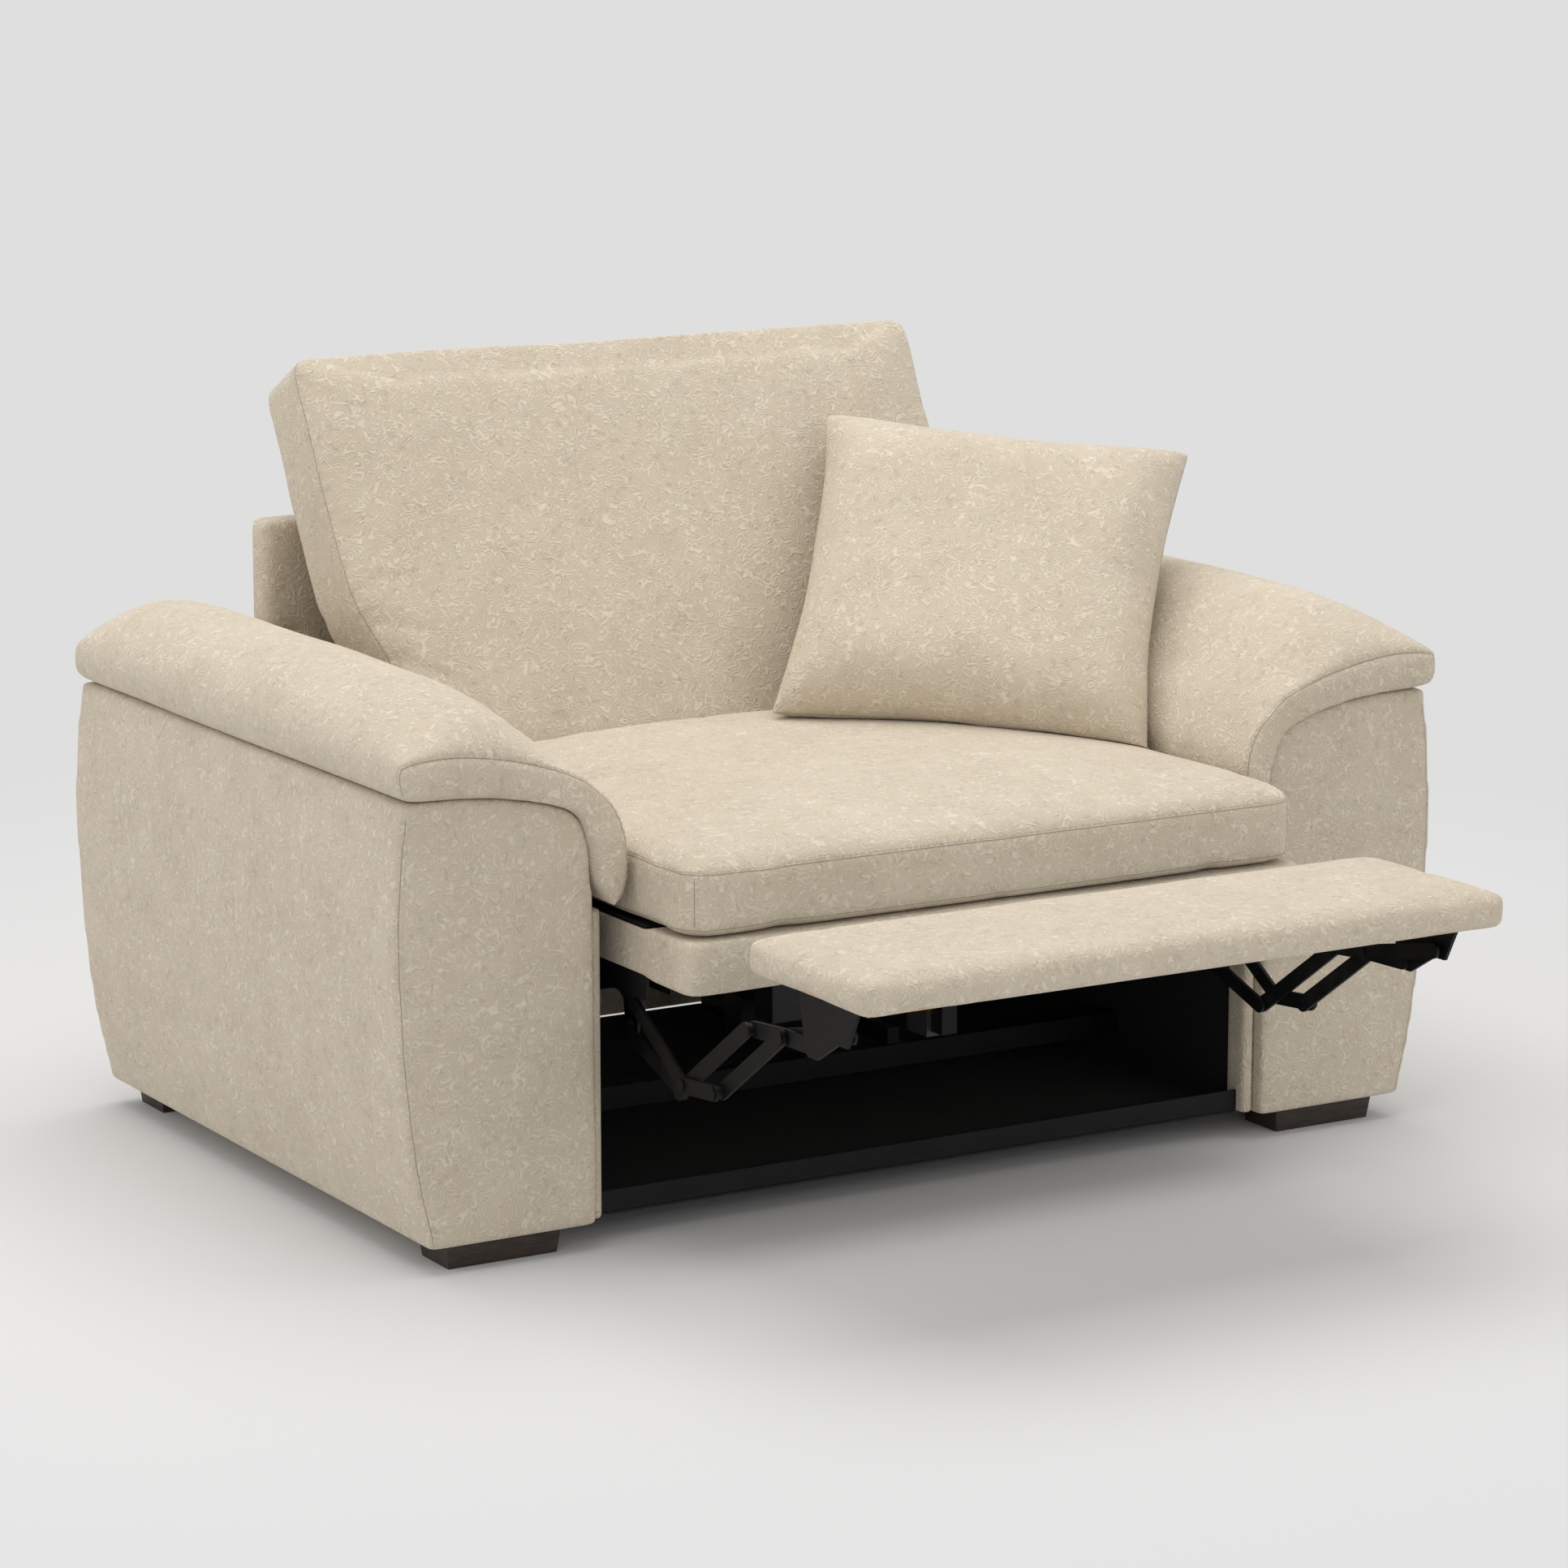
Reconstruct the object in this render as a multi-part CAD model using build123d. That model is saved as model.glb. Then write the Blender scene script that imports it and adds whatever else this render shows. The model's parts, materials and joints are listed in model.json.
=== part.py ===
from build123d import *
from math import atan2, cos, degrees, radians, sin
import os

# Power recliner armchair, footrest out and back tilted, all sizes in mm.
# X runs along the width, Y from the front to the rear, Z up from the floor.
# While it is modelled, y = 0 is the front face of the arms. Each saved piece is then
# moved by ORIGIN_Y, so that the origin lies on the floor under the middle of the chair.
# Left and right are as seen from in front of the chair.

ORIGIN_Y = 189.3

# Arms
ARM_INNER = 444.5
ARM_DEPTH = 864.0
ARM_BOTTOM = 29.0
ARM_WALL = 14.0
PAD_FRONT = -10.0
PAD_DROP = 383.0
STRIP_INNER = 430.0
LINING = 441.4
DUST_Z = (30.5, 33.0)

# Feet
FOOT_SIZE = (140.0, 70.0)
FOOT_X = 552.0
FOOT_Y = (55.0, 810.0)
FOOT_TAPER = 7.0
SCREW_OUT = 32.0

# Fixed outside back
OUTSIDE_FRONT = 812.0
OUTSIDE_REAR = 858.0
OUTSIDE_TOP = 705.0

# Seat
SEAT_HALF = 405.0
SEAT_FRONT = -130.0
SEAT_BOTTOM = 366.0
SEAT_TOP = 456.0
RAIL_BOTTOM = 306.0
RAIL_HALF = 400.0
FLAP_OUTER = 403.3
FLAP_REAR = 210.0
FLAP_Z = (309.0, 364.0)
WOOD_Z = (316.0, 357.0)
WOOD_X = (341.0, 366.0)
REAR_RAIL_Y = (500.0, 525.0)
SPRING_COUNT = 7
SPRING_PITCH = 88.0
WIRE = 1.9

# Back, built upright and then tilted about its lower front line
LEAN = 28.0
BACK_FOOT = (540.0, 460.0)
BACK_THICK = 118.0
BACK_BOTTOM = -85.0
BACK_TOP = 505.0
BACK_HALF = 435.0
BACK_WAIST = 388.0
BACK_PIVOT = (600.0, 420.0)

# Footrest linkage: pivots as (y, z), from the seat forward to the footrest
SHAFT = (60.0, 300.0)
CURVED_ROOT = (61.0, 236.0)
KNEE = (-96.0, 203.0)
KNEE_FRONT = (-162.0, 209.0)
LIFT_TAIL = (-77.4, 190.0)
TOGGLE_REAR = (-220.0, 290.0)
TOGGLE_MID = (-286.0, 296.0)
TOGGLE_FRONT = (-350.0, 298.0)
CONTROL_FRONT = (-410.0, 323.0)
LINK_HALF = 9.0
LINK_THICK = 4.0
LINK_PITCH = 5.0
PIN_R = 4.0
PIN_FIT = 0.05
HEAD_R = 7.0
HEAD_THICK = 2.5
TUBE_R = 11.0

# Footrest board
REST_HALF = 412.5
REST_Y = (-497.0, -250.0)
REST_Z = (362.0, 400.0)

# Drives
CRANK_PIN = (31.5, 236.0)
RAIL_Z = (190.0, 210.0)
RECLINE_X = 120.0

# Seat glides
GLIDE_Z = (250.0, 290.0)
GLIDE_Y = (120.0, 620.0)
GLIDE_GAP = 0.3

# Control panel on the outer side of the right arm
PANEL_Y = 165.0
PANEL_Z = 400.0
PANEL_FACE = 686.5
BUTTON_R = 9.0
BUTTON_PITCH = 40.0

# Scatter cushion
SCATTER = 450.0
SCATTER_THICK = 120.0
SCATTER_FOOT = (205.0, 292.0, 486.0)
SCATTER_YAW = -37.7
SCATTER_LEAN = -45.0
SCATTER_ROLL = 5.2

os.makedirs("parts", exist_ok=True)


def block(x, y, z):
    """A box given by the pair of its ends on each axis."""
    size = [abs(high - low) for low, high in (x, y, z)]
    middle = [(high + low) / 2 for low, high in (x, y, z)]
    return Pos(*middle) * Box(*size)


def prism_x(outline, x):
    """A (y, z) outline drawn out between two x values."""
    return Pos(x[0], 0, 0) * extrude(Plane.YZ * outline, amount=x[1] - x[0])


def prism_y(outline, y):
    """An (x, z) outline drawn out between two y values."""
    return Pos(0, y[0], 0) * extrude(Plane.XZ * outline, amount=y[0] - y[1])


def prism_z(outline, z):
    """An (x, y) outline drawn out between two z values."""
    return Pos(0, 0, z[0]) * extrude(outline, amount=z[1] - z[0])


def polygon(*points):
    """A face with straight sides."""
    return make_face(Polyline(*points, close=True))


def outline(*edges):
    """A face bounded by connected edges."""
    return make_face(Curve() + list(edges))


def rod_x(centre, radius, x):
    """A round bar along X at a (y, z) centre."""
    return prism_x(Pos(*centre) * Circle(radius), x)


def mirrored(shape):
    """The same piece on the other side of the chair."""
    return mirror(shape, about=Plane.YZ)


def save(name, *solids):
    """Write one node from its separate solids."""
    moved = [Pos(0, -ORIGIN_Y, 0) * one for shape in solids for one in shape.solids()]
    export_step(moved[0] if len(moved) == 1 else Compound(children=moved), f"parts/{name}.step")


def save_pair(name, right):
    """Write the right-hand piece and its mirror image as two nodes."""
    save(f"right_{name}", right)
    save(f"left_{name}", mirrored(right))


# ---------------------------------------------------------------- arms


def arm_top(dx, dz):
    """The line where the arm body meets its pillow pad, from the inner face outward."""
    points = [(446, 400), (451, 453), (464, 488), (493, 503), (534, 513), (589, 521), (677, 523)]
    return Spline(*[(x + dx, z + dz) for x, z in points])


def arm_outline():
    """The arm's section: bulged outer side, upright inner side, rounded inner shoulder."""
    top = arm_top(0, 0)
    outer = ThreePointArc(top @ 1, (689, 350), (651, ARM_BOTTOM))
    bottom = Line((651, ARM_BOTTOM), (ARM_INNER, ARM_BOTTOM))
    inner = Line((ARM_INNER, ARM_BOTTOM), top @ 0)
    return outline(top, outer, bottom, inner)


def arm_cavity():
    """The section's hollow, one padded wall inside the arm's outline."""
    low = ARM_BOTTOM + ARM_WALL
    return polygon(
        (459, low), (459, 400), (467, 450), (482, 478), (508, 491), (540, 499),
        (589, 506), (661, 508), (672, 430), (675, 350), (670, 220), (660, 130), (637, low),
    )


def arm_cover():
    """Padded fabric shell of the arm, open on its inner side for the frame."""
    shell = prism_y(arm_outline(), (0, ARM_DEPTH))
    shell -= prism_y(arm_cavity(), (ARM_WALL, ARM_DEPTH - ARM_WALL))
    shell -= block((ARM_INNER - 5, 470), (60, ARM_DEPTH - 60), (60, 360))
    return shell


def panel_recess():
    """Opening in the right arm's outer wall for the control panel."""
    face = Pos(PANEL_Y, PANEL_Z) * RectangleRounded(91, 35, 12)
    return prism_x(face, (668, 700))


def arm_frame():
    """Plywood frame inside an arm: two rails, three posts."""
    rails = [
        block((470, 600), (20, 844), (43.5, 61.5)),
        block((535, 625), (20, 844), (478, 496)),
    ]
    posts = [block((535, 600), (y, y + 18), (61.5, 478)) for y in (20, 423, 826)]
    return rails + posts


def arm_pad():
    """Pillow top: it overhangs the front, crowns along its length and wraps inside."""
    seam = arm_top(-0.7, 0.8)
    crown = Spline(
        (684, 530), (685, 556), (668, 586), (630, 616), (585, 629), (540, 612), (500, 574),
        (464, 538), (441, 517), (424, 495), (413, 466), (411, 432), (416, 396), (430, PAD_DROP),
    )
    section = outline(
        seam,
        Line(seam @ 1, crown @ 0),
        crown,
        Line(crown @ 1, (443.8, PAD_DROP)),
        Line((443.8, PAD_DROP), seam @ 0),
    )
    side = polygon(
        (PAD_FRONT, 300), (PAD_FRONT, 568), (20, 596), (80, 618), (150, 632),
        (740, 632), (820, 616), (862, 580), (862, 300),
    )
    return prism_y(section, (PAD_FRONT, 862)) & prism_x(side, (400, 700))


def arms():
    """Everything that belongs to the two arms."""
    save("left_arm_cover", mirrored(arm_cover()))
    save("right_arm_cover", arm_cover() - panel_recess())
    save("right_arm_frame", *arm_frame())
    save("left_arm_frame", *[mirrored(one) for one in arm_frame()])
    save_pair("arm_pad", arm_pad())
    strip = block((STRIP_INNER, 444.2), (15, 52), (31, 380))
    save("arm_front_strips", strip, mirrored(strip))
    lining = block((LINING, 444.2), (53, 860), (31, 380))
    floor = block((-429.8, 429.8), (31, 53), DUST_Z) + block((-441.3, 441.3), (53, 811), DUST_Z)
    save("inner_linings", lining, mirrored(lining), floor)


def feet():
    """Four tapered wooden blocks, each held by two screws."""
    width, depth = FOOT_SIZE
    screws = []
    for side, x in (("left", -FOOT_X), ("right", FOOT_X)):
        for end, y in (("front", FOOT_Y[0]), ("rear", FOOT_Y[1])):
            base = Pos(x, y, ARM_BOTTOM) * Rectangle(width, depth)
            foot = extrude(base, amount=-ARM_BOTTOM, taper=FOOT_TAPER)
            for dx in (-SCREW_OUT, SCREW_OUT):
                place = Pos(x + dx, y)
                foot -= prism_z(place * Circle(4.5), (0, 8)) + prism_z(place * Circle(2.5), (8, 29))
                screws.append(
                    prism_z(place * Circle(4.4), (3, 8)) + prism_z(place * Circle(2.45), (8, 29))
                )
            save(f"foot_{end}_{side}", foot)
    save("foot_screws", *screws)


# ---------------------------------------------------------------- fixed base


def outside_back():
    """Upholstered panel that closes the rear between the arms, round along its top."""
    wide, waist, low = 455, 408, 440.5
    foot = DUST_Z[1] + 1
    panel = prism_y(
        polygon(
            (-low, foot), (low, foot), (low, 374), (waist, 374), (waist, 564), (wide, 564),
            (wide, OUTSIDE_TOP), (-wide, OUTSIDE_TOP), (-wide, 564), (-waist, 564),
            (-waist, 374), (-low, 374),
        ),
        (OUTSIDE_FRONT, OUTSIDE_REAR),
    )
    top_edges = panel.edges().filter_by(Axis.X).group_by(Axis.Z)[-1]
    panel = fillet(top_edges, 20)
    return panel - prism_y(Pos(-300, 95) * Circle(9), (OUTSIDE_FRONT - 1, OUTSIDE_REAR + 1))


def angle_rail(half, y, z, drop, flip=1):
    """A steel angle across the chair, reaching half its length each way."""
    across = (-half, half)
    return block(across, (y, y + flip * 25), (z, z + 3)) + block(across, (y, y + flip * 3), (z, z + drop))


def glide_channel():
    """C-section rail that guides the seat's glide blocks along Y."""
    low, high = GLIDE_Z
    wall = block((437.5, LINING), GLIDE_Y, GLIDE_Z)
    upper = block((408, LINING), GLIDE_Y, (high - 4, high))
    lower = block((408, LINING), GLIDE_Y, (low, low + 4))
    return wall + upper + lower


def power_inlet():
    """Low-voltage socket in the outside back, with its centre pin."""
    centre = Pos(-300, 95)
    socket = prism_y(centre * Circle(8.95), (OUTSIDE_FRONT, OUTSIDE_REAR + 0.2))
    socket += prism_y(centre * Circle(14), (OUTSIDE_REAR + 0.2, OUTSIDE_REAR + 3.2))
    socket -= prism_y(centre * Circle(4), (OUTSIDE_REAR - 12, OUTSIDE_REAR + 4))
    return socket + prism_y(centre * Circle(1), (OUTSIDE_REAR - 13, OUTSIDE_REAR + 1))


def motor(x, y, z):
    """Gear motor: a flat gearbox with a round motor case behind it."""
    gearbox = block((x - 30, x + 30), (y, y + 42), z)
    middle = (z[0] + z[1]) / 2
    case = prism_y(Pos(x, middle) * Circle(24), (y + 42, y + 112))
    return gearbox + case


def base_drive():
    """Recline drive rail and its motor, fixed to the base cross rails."""
    bar = block((RECLINE_X - 8, RECLINE_X + 8), (300, 779.5), (95, 115))
    save("recline_drive_rail", bar)
    save("recline_motor", motor(RECLINE_X, 610, (38, 94)))


def base():
    """Fixed pieces between the arms."""
    save("outside_back", outside_back())
    save("base_front_rail", angle_rail(STRIP_INNER, 30, 34, 24))
    save("base_middle_rail", angle_rail(LINING, 295, 92, -24))
    save("base_rear_rail", angle_rail(LINING, 783, 84, 40, -1))
    save("glide_channels", glide_channel(), mirrored(glide_channel()))
    save("power_inlet", power_inlet())
    save("power_supply", block((-LINING, -401), (640, 770), (130, 200)))
    base_drive()


def control_panel():
    """Recessed two-button panel and its buttons."""
    plate = prism_x(Pos(PANEL_Y, PANEL_Z) * RectangleRounded(90, 34, 11.5), (683, PANEL_FACE))
    tub = prism_x(Pos(PANEL_Y, PANEL_Z) * RectangleRounded(72, 26, 8), (669, 683))
    panel = plate + tub
    for name, dy in (("button_open", -BUTTON_PITCH / 2), ("button_close", BUTTON_PITCH / 2)):
        centre = (PANEL_Y + dy, PANEL_Z)
        panel -= rod_x(centre, BUTTON_R + 0.1, (671, 700))
        button = rod_x(centre, BUTTON_R, (675, 688.3))
        outer_rim = button.edges().group_by(Axis.X)[-1]
        save(name, fillet(outer_rim, 1.2))
    save("control_panel", panel)


# ---------------------------------------------------------------- seat


def seat_cushion():
    """Boxed cushion: soft front, flat underside, rear face parallel to the back."""
    side = outline(
        Line((-112, SEAT_BOTTOM), (478, SEAT_BOTTOM)),
        Line((478, SEAT_BOTTOM), (522, SEAT_TOP - 6)),
        Spline((522, SEAT_TOP - 6), (300, SEAT_TOP), (0, SEAT_TOP), (-108, 442)),
        ThreePointArc((-108, 442), (SEAT_FRONT, 402), (-112, SEAT_BOTTOM)),
    )
    plan = Pos(0, 200) * RectangleRounded(2 * SEAT_HALF, 2 * (200 - SEAT_FRONT), 34)
    return prism_x(side, (-SEAT_HALF, SEAT_HALF)) & prism_z(plan, (300, 500))


def seat_front_cover():
    """Padded fabric wrap of the seat's front rail, with a flap along each side plate."""
    outer = block((-RAIL_HALF, RAIL_HALF), (SEAT_FRONT, -30), (RAIL_BOTTOM, 365.5))
    outer = fillet(outer.edges().filter_by(Axis.X).group_by(Axis.Y)[0], 8)
    wrap = outer - block((-367, 367), (-123.5, -20), (WOOD_Z[0] - 0.5, WOOD_Z[1] + 0.5))
    flap = block((RAIL_HALF, FLAP_OUTER), (-60, -30.5), FLAP_Z)
    flap += block((RAIL_HALF + 0.3, FLAP_OUTER), (-31, FLAP_REAR), FLAP_Z)
    return wrap + flap + mirrored(flap)


def seat_spring(x):
    """One sinuous spring wire from the cross tube to the rear rail."""
    front, rear, turns, swing = -8.0, 510.0, 12, 20.0
    step = (rear - front) / (turns + 1)
    points = [(x, front)]
    for i in range(turns):
        points.append((x + swing * (-1) ** i, front + step * (i + 1)))
    points.append((x, rear))
    level = WOOD_Z[1] + WIRE
    path = FilletPolyline(*[(px, py, level) for px, py in points], radius=8)
    return sweep(Plane(path @ 0, z_dir=path % 0) * Circle(WIRE), path=path)


def side_plate():
    """Folded steel channel of the mechanism, open downward, that carries every seat pivot."""
    outer = prism_x(
        polygon(
            (-27, 365), (-27, 282), (150, 282), (180, 248), (600, 248), (628, 300),
            (628, 428), (612, 440), (588, 440), (574, 428), (574, 365),
        ),
        (396, 400),
    )
    inner = prism_x(
        polygon((-27, 361), (-27, 285), (40, 285), (48, 226), (74, 226), (82, 285), (505, 285),
                (505, 361)),
        (366, 370),
    )
    flange = block((366, 400), (-27, 505), (361, 365))
    plate = outer + inner + flange
    plate -= rod_x(SHAFT, 8 + PIN_FIT, (395, 401))
    plate -= rod_x(SHAFT, TUBE_R + 1, (365, 371))
    plate -= rod_x(CURVED_ROOT, PIN_R + PIN_FIT, (365, 371))
    return plate - rod_x(BACK_PIVOT, 6 + PIN_FIT, (395, 401))


def glide_blocks():
    """Nylon blocks on the outer plates that run in the base channels."""
    low = GLIDE_Z[0] + 4 + GLIDE_GAP
    high = GLIDE_Z[1] - 4 - GLIDE_GAP
    right = [block((400, 437.5 - GLIDE_GAP), (y, y + 60), (low, high)) for y in (200, 500)]
    return right + [mirrored(one) for one in right]


def footrest_drive():
    """Footrest motor and the bar that its drive block runs on."""
    across = (-10, 10)
    rail = block(across, (-12, 522), RAIL_Z)
    front_hanger = block(across, (-12, 8), (RAIL_Z[1], 322))
    rear_hanger = block(across, (502, 522), (RAIL_Z[1], WOOD_Z[0]))
    save("footrest_drive_rail", rail, front_hanger, rear_hanger)
    save("footrest_motor", motor(0, 330, (132, RAIL_Z[0])))
    yoke = block((-7.5, 7.5), (CRANK_PIN[0] - 18, CRANK_PIN[0] + 18), (215, 256))
    slot = block((-9, 9), (CRANK_PIN[0] - 6, CRANK_PIN[0] + 6), (222, 246))
    body = block((-16, 16), (CRANK_PIN[0] - 21, CRANK_PIN[0] + 21), (184, 216))
    bore = block((-10.3, 10.3), (0, 100), (RAIL_Z[0] - 0.3, RAIL_Z[1] + 0.3))
    save("footrest_drive_block", body + yoke - slot - bore)


def recline_drive_block():
    """Block on the recline rail, with the arm that pushes the seat."""
    y = (REAR_RAIL_Y[0] - 10, REAR_RAIL_Y[1] + 10)
    body = block((RECLINE_X - 16, RECLINE_X + 16), y, (88, 123))
    body += block((RECLINE_X - 8, RECLINE_X + 8), REAR_RAIL_Y, (123, WOOD_Z[0]))
    return body - block((RECLINE_X - 8.3, RECLINE_X + 8.3), (400, 600), (94.9, 115.3))


def back_pivot_bolts():
    """Shoulder bolts that join the back brackets to the side plates."""
    bolt = rod_x(BACK_PIVOT, 6, (389.4, 400))
    bolt += rod_x(BACK_PIVOT, 10, (400, 403.5))
    return [bolt, mirrored(bolt)]


def seat():
    """Everything that rides on the seat carriage."""
    save("seat_cushion", seat_cushion())
    save("seat_front_cover", seat_front_cover())
    inner = (-WOOD_X[0], WOOD_X[0])
    save("seat_front_rail", block(inner, (-122.5, -98), WOOD_Z))
    save("seat_cross_tube", block(inner, (-12, 12), (322, WOOD_Z[1])))
    save("seat_rear_rail", block(inner, REAR_RAIL_Y, WOOD_Z))
    side_rail = block(WOOD_X, (-98, 530), WOOD_Z)
    save("seat_side_rails", side_rail, mirrored(side_rail))
    start = -SPRING_PITCH * (SPRING_COUNT - 1) / 2
    save("seat_springs", *[seat_spring(start + i * SPRING_PITCH) for i in range(SPRING_COUNT)])
    save_pair("side_plate", side_plate())
    save("glide_blocks", *glide_blocks())
    footrest_drive()
    save("recline_drive_block", recline_drive_block())
    save("back_pivot_bolts", *back_pivot_bolts())


# ---------------------------------------------------------------- tilting back


def leaned(shape):
    """Tilt a piece that was built upright, its front face at y = 0, to the back's angle."""
    return Pos(0, *BACK_FOOT) * Rot(X=-LEAN) * shape


def back_outline(inset):
    """Front view of the back: narrow between the arm pads, wide above them."""
    waist, wide = BACK_WAIST - inset, BACK_HALF - inset
    low, high = BACK_BOTTOM + inset, BACK_TOP - inset
    right = [(waist, low), (waist, 78), (wide - 4, 200), (wide, high)]
    return polygon(*right, *[(-x, z) for x, z in reversed(right)])


def back_bracket():
    """Steel plate from the back pivot up the side of the back frame."""
    foot, tall = Vector(0, *BACK_PIVOT), 58.0
    along = Vector(0, sin(radians(LEAN)), cos(radians(LEAN)))
    tip = foot + along * tall
    plate = link([(foot.Y, foot.Z), (tip.Y, tip.Z)], 389.4, 14, 5.6)
    return plate - rod_x(BACK_PIVOT, 6 + PIN_FIT, (380, 401))


def back_spring(x):
    """One sinuous spring wire between the lower and upper rails of the back frame."""
    low, high, turns, swing = -20.0, 430.0, 10, 20.0
    step = (high - low) / (turns + 1)
    points = [(x, low)]
    for i in range(turns):
        points.append((x + swing * (-1) ** i, low + step * (i + 1)))
    points.append((x, high))
    path = FilletPolyline(*[(px, 82 - WIRE, pz) for px, pz in points], radius=8)
    return leaned(sweep(Plane(path @ 0, z_dir=path % 0) * Circle(WIRE), path=path))


def back():
    """Everything that tilts with the back."""
    body = prism_y(back_outline(0), (0, BACK_THICK))
    rims = body.edges().filter_by(lambda e: abs(e.center().Y) < 1 or e.center().Y > BACK_THICK - 1)
    body = fillet(rims, 16)
    body -= prism_y(back_outline(24), (76, BACK_THICK + 1))
    save("back_cushion", leaned(body))
    rails = [
        block((-350, 350), (82, 104), (-58, -18)),
        block((-380, 380), (82, 104), (430, 470)),
        block((350, 363), (82, 104), (-58, 430)),
        block((-363, -350), (82, 104), (-58, 430)),
    ]
    save("back_frame", *[leaned(one) for one in rails])
    save("back_rear_panel", leaned(prism_y(back_outline(25), (107, 112))))
    save("back_springs", *[back_spring(x) for x in (-240, -120, 0, 120, 240)])
    save("back_brackets", back_bracket(), mirrored(back_bracket()))


# ---------------------------------------------------------------- footrest linkage


def layer(number):
    """Low and high x of one layer of links, counted inward from the outer side plate."""
    high = 400 - LINK_PITCH * number
    return (high - LINK_THICK, high)


def link(pivots, x, half, thick=LINK_THICK):
    """A flat bar with round ends through its pivots."""
    face = Pos(*pivots[0]) * Circle(half)
    for start, end in zip(pivots, pivots[1:]):
        run = Vector(*end) - Vector(*start)
        middle = (Vector(*end) + Vector(*start)) * 0.5
        turn = degrees(atan2(run.Y, run.X))
        face += Pos(*end) * Circle(half)
        face += Pos(middle.X, middle.Y) * Rot(Z=turn) * Rectangle(run.length, 2 * half)
    return prism_x(face, (x, x + thick))


def bar(pivots, number):
    """A link in one layer."""
    return link(pivots, layer(number)[0], LINK_HALF)


def rivet(pivot, own, other, head=False, cap=False):
    """Pin from a link's own layer through another, with a collar across any layer between.

    A head holds the other link on; a cap is the pin's round end on the link's free side.
    """
    outward = other < own
    far = layer(other)[1] if outward else layer(other)[0]
    near = layer(own)[0] if outward else layer(own)[1]
    away = 1 if outward else -1
    pin = rod_x(pivot, PIN_R, sorted((near, far)))
    if abs(other - own) > 1:
        start = layer(own)[1] if outward else layer(own)[0]
        stop = layer(other)[0] - 0.3 if outward else layer(other)[1] + 0.3
        pin += rod_x(pivot, HEAD_R, sorted((start, stop)))
    if head:
        pin += rod_x(pivot, PIN_R, sorted((far, far + away * 0.3)))
        pin += rod_x(pivot, HEAD_R, sorted((far + away * 0.3, far + away * (0.3 + HEAD_THICK))))
    if cap:
        pin += rod_x(pivot, HEAD_R, sorted((near, near - away * HEAD_THICK)))
    return pin


def hole(pivot, number):
    """Running hole for a rivet in one layer."""
    low, high = layer(number)
    return rod_x(pivot, PIN_R + PIN_FIT, (low - 1, high + 1))


def rear_link():
    """Bent link with its journal, from the shaft to the knee that carries both lifting bars."""
    plate = bar([SHAFT, KNEE, KNEE_FRONT], 1) + rod_x(SHAFT, 15, layer(1))
    plate += rod_x(SHAFT, 8, (layer(1)[0], 400.5))
    return plate - hole(KNEE, 1) - hole(KNEE_FRONT, 1)


def drive_shaft():
    """Cross tube that ties the rear links, with the drive crank at its middle."""
    tube = rod_x(SHAFT, TUBE_R, (-391, 391)) - rod_x(SHAFT, TUBE_R - 2, (-380, 380))
    for x in (-13, 8):
        tube += link([SHAFT, CRANK_PIN], x, 9, 5) - rod_x(SHAFT, TUBE_R - 1, (-20, 20))
    return tube + rod_x(CRANK_PIN, 5, (-13, 13))


def lift_link():
    """Bar from its tail, through the knee, up to the toggle. Its rivet is flush on the inside."""
    plate = bar([LIFT_TAIL, KNEE, TOGGLE_REAR], 2) + rivet(KNEE, 2, 1, head=True)
    return plate - hole(TOGGLE_REAR, 2)


def support_link():
    """Second lifting bar, parallel to the first."""
    plate = bar([KNEE_FRONT, TOGGLE_MID], 3) + rivet(KNEE_FRONT, 3, 1, head=True, cap=True)
    return plate - hole(TOGGLE_MID, 3)


def toggle_link():
    """Upper bar that carries the footrest bracket at its front end."""
    plate = bar([TOGGLE_REAR, TOGGLE_MID, TOGGLE_FRONT], 4)
    plate += rivet(TOGGLE_REAR, 4, 2, cap=True)
    plate += rivet(TOGGLE_MID, 4, 3, head=True) + rivet(TOGGLE_MID, 4, 5, head=True)
    return plate - hole(TOGGLE_FRONT, 4)


def curved_link():
    """Steering bar from the seat plate to the tail of the lift link."""
    return bar([CURVED_ROOT, LIFT_TAIL], 3) + rivet(CURVED_ROOT, 3, 6, head=True)


def control_link():
    """Bar that turns the footrest as the linkage unfolds."""
    return bar([TOGGLE_MID, CONTROL_FRONT], 5) - hole(TOGGLE_MID, 5)


def footrest_bracket():
    """Folded steel bracket under the footrest board, with its pivot pin."""
    low, high = layer(3)
    web = prism_x(
        polygon((-322, 362), (-440, 362), (-440, 352), (-420, 313), (-402, 313),
                (-360, 288), (-342, 288), (-336, 300)),
        (low, high),
    )
    flange = block((high - 45, high), (-440, -322), (358, 362))
    return web + flange + rivet(TOGGLE_FRONT, 3, 4)


def linkage():
    """Both sides of the footrest mechanism and the board that it carries."""
    save_pair("rear_link", rear_link())
    save("drive_shaft", drive_shaft())
    save_pair("lift_link", lift_link())
    save_pair("support_link", support_link())
    save_pair("toggle_link", toggle_link())
    save("curved_links", curved_link(), mirrored(curved_link()))
    save("control_links", control_link(), mirrored(control_link()))
    save("footrest_brackets", footrest_bracket(), mirrored(footrest_bracket()))
    low, high = REST_Z
    wood_y = (REST_Y[0] + 12, REST_Y[1] - 12)
    save("footrest_board", block((-400, 400), wood_y, (low, low + 12)))
    plan = Pos(0, sum(REST_Y) / 2) * RectangleRounded(2 * REST_HALF, REST_Y[1] - REST_Y[0], 18)
    pad = prism_z(plan, (low, high))
    pad = fillet(pad.faces().sort_by(Axis.Z)[-1].edges(), 10)
    pocket = block((-400.3, 400.3), (wood_y[0] - 0.3, wood_y[1] + 0.3), (low - 1, low + 12.3))
    save("footrest_pad", pad - pocket)


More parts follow.
